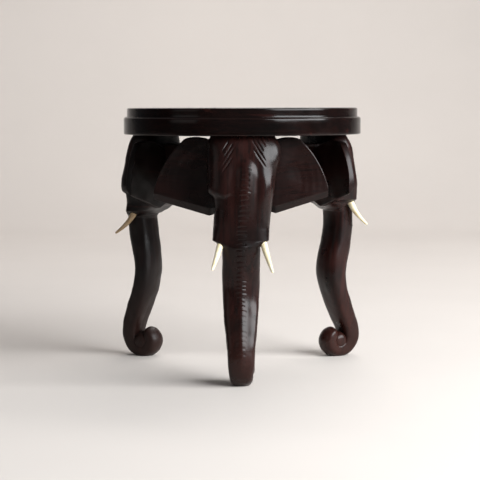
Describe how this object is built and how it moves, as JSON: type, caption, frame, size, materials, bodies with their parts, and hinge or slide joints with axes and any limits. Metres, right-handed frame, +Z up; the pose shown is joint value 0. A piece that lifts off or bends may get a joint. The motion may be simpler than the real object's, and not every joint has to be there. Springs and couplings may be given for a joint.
{
  "type": "carved elephant stand",
  "caption": "Small round display stand whose top rests on carved elephant heads, with their trunks as curved legs that end in curled feet.",
  "frame": {"origin": "on the floor, directly below the middle of the round top", "axes": "+Z up along the top's axis; the front elephant faces -Y; +X to the right of someone looking at that elephant"},
  "size_m": [0.2218, 0.2207, 0.219],
  "materials": {
    "dark_wood": "carved dark rosewood or stained hardwood, near-black brown with reddish streaks, satin wax polish",
    "dowel_wood": "plain hardwood dowel, unfinished and hidden",
    "tusk": "cream bone or bone-coloured resin, smooth and slightly polished"
  },
  "bodies": {
    "root": {"top_disc": "dark_wood", "centre_peg": "dowel_wood", "front_elephant_head_and_trunk": "dark_wood", "front_elephant_left_ear": "dark_wood", "front_elephant_left_tusk": "tusk", "front_elephant_right_ear": "dark_wood", "front_elephant_right_tusk": "tusk", "front_elephant_top_dowel": "dowel_wood", "front_elephant_ear_dowels": "dowel_wood", "right_elephant_head_and_trunk": "dark_wood", "right_elephant_left_ear": "dark_wood", "right_elephant_left_tusk": "tusk", "right_elephant_right_ear": "dark_wood", "right_elephant_right_tusk": "tusk", "right_elephant_top_dowel": "dowel_wood", "right_elephant_ear_dowels": "dowel_wood", "left_elephant_head_and_trunk": "dark_wood", "left_elephant_left_ear": "dark_wood", "left_elephant_left_tusk": "tusk", "left_elephant_right_ear": "dark_wood", "left_elephant_right_tusk": "tusk", "left_elephant_top_dowel": "dowel_wood", "left_elephant_ear_dowels": "dowel_wood"}
  },
  "joints": []
}
